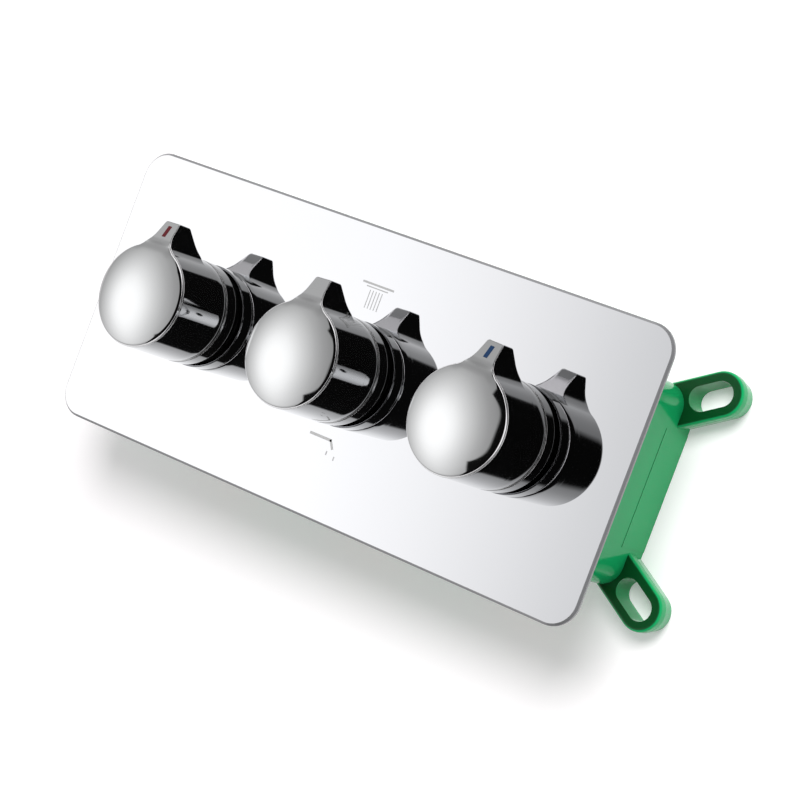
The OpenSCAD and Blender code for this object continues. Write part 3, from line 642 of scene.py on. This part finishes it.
def smooth_mesh(mesh):
    """Smooth faces, with edges kept sharp where faces meet at more than the angle."""
    bm = bmesh.new()
    bm.from_mesh(mesh)
    for face in bm.faces:
        face.smooth = True
    limit = math.radians(SHARP)
    for edge in bm.edges:
        edge.smooth = len(edge.link_faces) == 2 and edge.calc_face_angle(0) < limit
    bm.to_mesh(mesh)
    bm.free()


def turned(angle, axis):
    return Matrix.Rotation(math.radians(angle), 4, axis)


# How far cutters reach past what they cut, the start of the grub screw's hole from the axis,
# and the bore's turn, which keeps its corners off the hub's
OVER = 1
BORE_OVER = 0.7
HOLE_FROM = 1.3
BORE_TURN = 1.7
BORE_SIDES = 60
HOLE_SIDES = 44
POCKET_GAP = 0.05


def knob_mesh():
    """Hollow knob with its hub, bore, boss and grub screw's hole."""
    outer = ring_mesh("knob_outer", knob_rings())
    hub = bar_mesh("hub", HUB_R, HUB_REAR, RIM)
    to_grub = turned(-GRUB_TURN, "Z")
    half = GRUB_BOSS / 2
    boss_low, boss_high = (-half, -REAR_R, GRUB_Z - half), (half, 0, GRUB_Z + half)
    boss = block_mesh("boss", boss_low, boss_high, to_grub)
    cavity = cut(bar_mesh("cavity", CAVITY_R, KNOB_REAR - OVER, CAVITY_TOP), [hub, boss])
    bore = bar_mesh("bore", BORE_R, HUB_REAR - BORE_OVER, BORE_TOP, BORE_SIDES)
    bore.transform(turned(BORE_TURN, "Z"))
    hole = bar_mesh("hole", GRUB_R, HOLE_FROM, REAR_R + OVER, HOLE_SIDES)
    hole.transform(to_grub @ Matrix.Translation((0, 0, GRUB_Z * MM)) @ turned(90, "X"))
    return cut(outer, [cavity, hole, bore])


def mark_pocket():
    """Cutter for the pocket of a lever's mark, tilted with the lever's face."""
    half_w, half_len = MARK_W / 2 + POCKET_GAP, MARK_LEN / 2 + POCKET_GAP
    height = TIP_FRONT + (TIP_R - MARK_AT) * FACE_SLOPE
    tilt = Matrix.Rotation(-math.atan(FACE_SLOPE), 4, "X")
    tilt = Matrix.Translation((0, MARK_AT * MM, height * MM)) @ tilt
    return block_mesh("pocket", (-half_w, -half_len, -MARK_T), (half_w, half_len, OVER), tilt)


def at_station(station, lean):
    """Matrix from a knob's own frame to the model's, with a clockwise lean."""
    outward = Matrix(((1, 0, 0, 0), (0, 0, -1, 0), (0, 1, 0, 0), (0, 0, 0, 1)))
    return outward @ Matrix.Translation((station * MM, 0, 0)) @ turned(-lean, "Z")


def add_piece(name, mesh, body, material):
    piece = new_object(name, mesh)
    mesh.materials.clear()
    mesh.materials.append(material)
    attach(piece, body)
    return piece


plain_knob = knob_mesh()
marked_knob = cut(plain_knob.copy(), [mark_pocket()])
for name, station, lean in STATIONS:
    mesh = (plain_knob if name == "diverter" else marked_knob).copy()
    mesh.transform(at_station(station, lean))
    smooth_mesh(mesh)
    piece = add_piece(
        name + "_knob_shell", mesh, name + "_handle", MATERIALS["knob_chrome"]
    )
    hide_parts(name + "_knob")


# ---------------------------------------------------------------- signs on the plate
SIGN_T = 0.03
SIGN_GREY = chrome("sign_grey", grey(0.40), 0.3)

# Bars of a sign, each from one X and Z to another, with a width, in mm
SHOWER_HEAD = [(-7.6, 39.0, 9.0, 39.0, 0.9), (-5.0, 37.6, 6.4, 37.6, 0.5)]
SHOWER_JETS = [(x, 36.4, x, 28.4, 0.4) for x in (-2.4, -0.8, 0.8, 2.4, 4.0)]
SPOUT = [(-5.8, -28.7, 6.0, -28.7, 1.2), (5.4, -28.4, 7.9, -32.1, 1.1)]
SPOUT_DROPS = [(5.6, -33.4, 5.6, -35.2, 0.6), (10.0, -34.5, 10.0, -36.3, 0.6)]


def sign(name, bars):
    """Thin grey bars on the plate."""
    bm = bmesh.new()
    for x0, z0, x1, z1, width in bars:
        length = math.hypot(x1 - x0, z1 - z0)
        turn = Matrix.Rotation(-math.atan2(z1 - z0, x1 - x0), 4, "Y")
        size = Matrix.Diagonal((length * MM, 2 * SIGN_T * MM, width * MM, 1))
        middle = Vector(((x0 + x1) / 2, PLATE_FRONT, (z0 + z1) / 2)) * MM
        place = Matrix.Translation(middle) @ turn @ size
        bmesh.ops.create_cube(bm, size=1.0, matrix=place)
    return add_piece(name, to_mesh(name, bm), "valve", SIGN_GREY)


sign("shower_sign", SHOWER_HEAD + SHOWER_JETS)
sign("spout_sign", SPOUT + SPOUT_DROPS)


# ---------------------------------------------------------------- camera
# Fitted to the photographed plate, rings and levers
CAMERA_PLACE = (0.5636, -0.8772, 0.0253)
CAMERA_FORWARD = (-0.54680, 0.83679, -0.02819)
CAMERA_UP = (-0.30950, -0.17074, 0.93545)


def look_from(location, forward, up):
    """Matrix of a camera that looks along forward with its top at up."""
    f = Vector(forward).normalized()
    r = f.cross(Vector(up)).normalized()
    u = r.cross(f)
    turn = Matrix((r, u, -f)).transposed().to_4x4()
    return Matrix.Translation(location) @ turn


camera_data = bpy.data.cameras.new("camera")
camera_data.sensor_width = 36.0
camera_data.lens = 106.05
camera_data.clip_start = 0.05
camera_data.clip_end = 50.0
camera = new_object("camera", camera_data)
camera.matrix_world = look_from(CAMERA_PLACE, CAMERA_FORWARD, CAMERA_UP)
bpy.context.scene.camera = camera


# ---------------------------------------------------------------- table
# The valve lies on its back on a white table, just behind the mounting plane. Round the valve
# the table shows the shadow; from one distance to another it turns plain white to the camera.
TABLE_REACH = 4.0
TABLE_GAP = 0.0002
TABLE_TINT = (0.80, 0.772, 0.788, 1)
TABLE_GLOW = 0.26
WHITE_FROM = 0.28
WHITE_AT = 0.55


def table_material():
    """White table that isn't there from behind."""
    s = Shader("table_white")
    distance = s.node("ShaderNodeVectorMath", {0: s.place}, operation="LENGTH").outputs["Value"]
    far = s.maths("SUBTRACT", distance, WHITE_FROM)
    far = s.maths("DIVIDE", far, WHITE_AT - WHITE_FROM, clamp=True)
    seen = s.maths("MULTIPLY", far, s.node("ShaderNodeLightPath").outputs["Is Camera Ray"])
    strength = s.line(seen, slope=1.0 - TABLE_GLOW, start=TABLE_GLOW)
    lit = s.node("ShaderNodeBsdfDiffuse", {"Color": TABLE_TINT}).outputs[0]
    glow_inputs = {"Color": grey(1.0), "Strength": strength}
    glow = s.node("ShaderNodeEmission", glow_inputs).outputs[0]
    front = s.node("ShaderNodeAddShader", {0: lit, 1: glow}).outputs[0]
    behind = s.node("ShaderNodeBsdfTransparent").outputs[0]
    return s.shown(s.mix_shader(s.geometry("Backfacing"), front, behind))


table_mesh = bpy.data.meshes.new("table")
table_corners = [(-1, -1), (1, -1), (1, 1), (-1, 1)]
table_mesh.from_pydata(
    [(x * TABLE_REACH, 0, z * TABLE_REACH) for x, z in table_corners], [], [(0, 1, 2, 3)]
)
table_mesh.materials.append(table_material())
table = new_object("table", table_mesh)
table.location = (0, TABLE_GAP, 0)


# ---------------------------------------------------------------- studio
# What the chrome mirrors: a large soft light to the left of the front, with its level at each
# angle from its middle, and a dark side to the right
LIGHT_AZIMUTH = -43.0
LIGHT_RISE = -12.0
LIGHT_LEFT_STRETCH = 1.1
LIGHT_LEVELS = [
    (0, 1.50), (10, 1.49), (16, 1.42), (22, 1.30), (28, 1.12), (34, 0.95), (40, 0.80),
    (48, 0.61), (56, 0.47), (66, 0.37), (80, 0.33), (100, 0.38), (179, 0.40),
]
LEVEL_TOP = 1.5
# The dark side starts at an edge that bends to the left with the rise, above and below
DARK_FROM = 17.0
DARK_LEFTMOST = -3.0
DARK_FADE = 3.0
DARK_LEVEL = 0.02
BEND_RISE = 33.0
BEND = 19.0
BEND_POWER = 4.0
# What matt surfaces get from all round
AMBIENT = 0.40
HALF_TURN = 180.0
DEGREES = HALF_TURN / math.pi


def studio(tree):
    """White for the camera, a plain level for matt surfaces, and the light and the dark side
    for gloss."""
    w = Nodes(tree, "ShaderNodeOutputWorld")
    direction = w.split(w.node("ShaderNodeTexCoord").outputs["Generated"])

    def background(colour, strength):
        inputs = {"Color": colour, "Strength": strength}
        return w.node("ShaderNodeBackground", inputs).outputs[0]

    # Azimuth from the front, positive to the viewer's right, and rise above level
    front = w.maths("MULTIPLY", direction["Y"], -1.0)
    azimuth = w.maths("MULTIPLY", w.maths("ARCTAN2", direction["X"], front), DEGREES)
    rise = w.maths("MULTIPLY", w.maths("ARCSINE", direction["Z"]), DEGREES)
    aside = w.maths("SUBTRACT", azimuth, LIGHT_AZIMUTH)
    wide = w.maths("MAXIMUM", aside, w.maths("MULTIPLY", aside, -LIGHT_LEFT_STRETCH))
    away = w.distance(wide, w.maths("SUBTRACT", rise, LIGHT_RISE))
    stops = [(angle / HALF_TURN, grey(level / LEVEL_TOP)) for angle, level in LIGHT_LEVELS]
    colour = w.ramp(w.maths("DIVIDE", away, HALF_TURN), stops)
    bent = w.maths("POWER", w.maths("DIVIDE", w.maths("ABSOLUTE", rise), BEND_RISE), BEND_POWER)
    edge = w.maths("SUBTRACT", DARK_FROM, w.maths("MULTIPLY", bent, BEND))
    past = w.maths("SUBTRACT", azimuth, w.maths("MAXIMUM", edge, DARK_LEFTMOST))
    dark = w.maths("DIVIDE", past, DARK_FADE, clamp=True)
    strength = w.maths("MULTIPLY", w.maths("SUBTRACT", 1.0, dark), LEVEL_TOP)
    room = background(colour, w.maths("ADD", strength, DARK_LEVEL))
    path = w.node("ShaderNodeLightPath").outputs
    lit = w.mix_shader(path["Is Diffuse Ray"], room, background(grey(1.0), AMBIENT))
    shown = w.mix_shader(path["Is Camera Ray"], lit, background(grey(1.0), 1.0))
    w.feed(w.output.inputs["Surface"], shown)


world = bpy.data.worlds.new("studio")
bpy.context.scene.world = world
world.use_nodes = True
studio(world.node_tree)

# The lamp for matt surfaces and the shadow. The chrome doesn't mirror it.
KEY_PLACE = (0.37, -1.23, 0.62)
KEY_TARGET = (0, -0.03, 0)
key_light = bpy.data.lights.new("key", "AREA")
key_light.shape = "DISK"
key_light.size = 0.75
key_light.energy = 20.5
key = new_object("key", key_light)
key.location = KEY_PLACE
key.rotation_mode = "QUATERNION"
key.rotation_quaternion = (Vector(KEY_TARGET) - Vector(KEY_PLACE)).to_track_quat("-Z", "Y")
key.visible_glossy = False

view = bpy.context.scene.view_settings
view.view_transform = "Standard"
